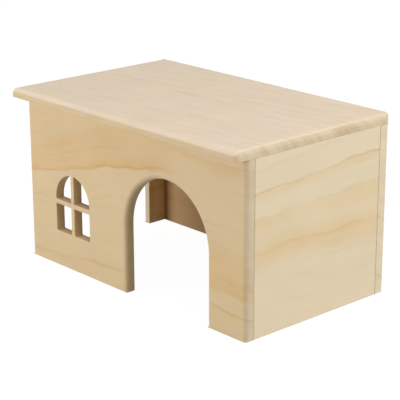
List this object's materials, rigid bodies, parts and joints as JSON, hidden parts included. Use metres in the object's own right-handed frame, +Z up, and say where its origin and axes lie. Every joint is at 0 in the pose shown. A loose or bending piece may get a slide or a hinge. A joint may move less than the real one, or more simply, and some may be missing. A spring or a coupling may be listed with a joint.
{
  "type": "hamster house",
  "caption": "Free-standing wooden hamster house with a flat roof, open floor, arched doorway, arched window with glazing bars and a wide side doorway.",
  "frame": {"origin": "on the ground, under the middle of the house's outer box, roof included", "axes": "+X towards the right panel, +Y towards the back panel, +Z up; the front doorway faces -Y"},
  "size_m": [0.2624, 0.1606, 0.144],
  "materials": {
    "roof_board": "bare sanded pine",
    "front_board": "bare sanded pine",
    "back_board": "bare sanded pine",
    "side_board": "bare sanded pine",
    "dowel": "bare turned beech"
  },
  "bodies": {
    "root": {"roof": "roof_board", "front_panel": "front_board", "back_panel": "back_board", "left_panel": "side_board", "right_panel": "side_board", "front_left_dowels": "dowel", "front_right_dowels": "dowel", "back_left_dowels": "dowel", "back_right_dowels": "dowel", "roof_front_dowels": "dowel", "roof_back_dowels": "dowel", "roof_left_dowels": "dowel", "roof_right_dowels": "dowel"}
  },
  "joints": []
}
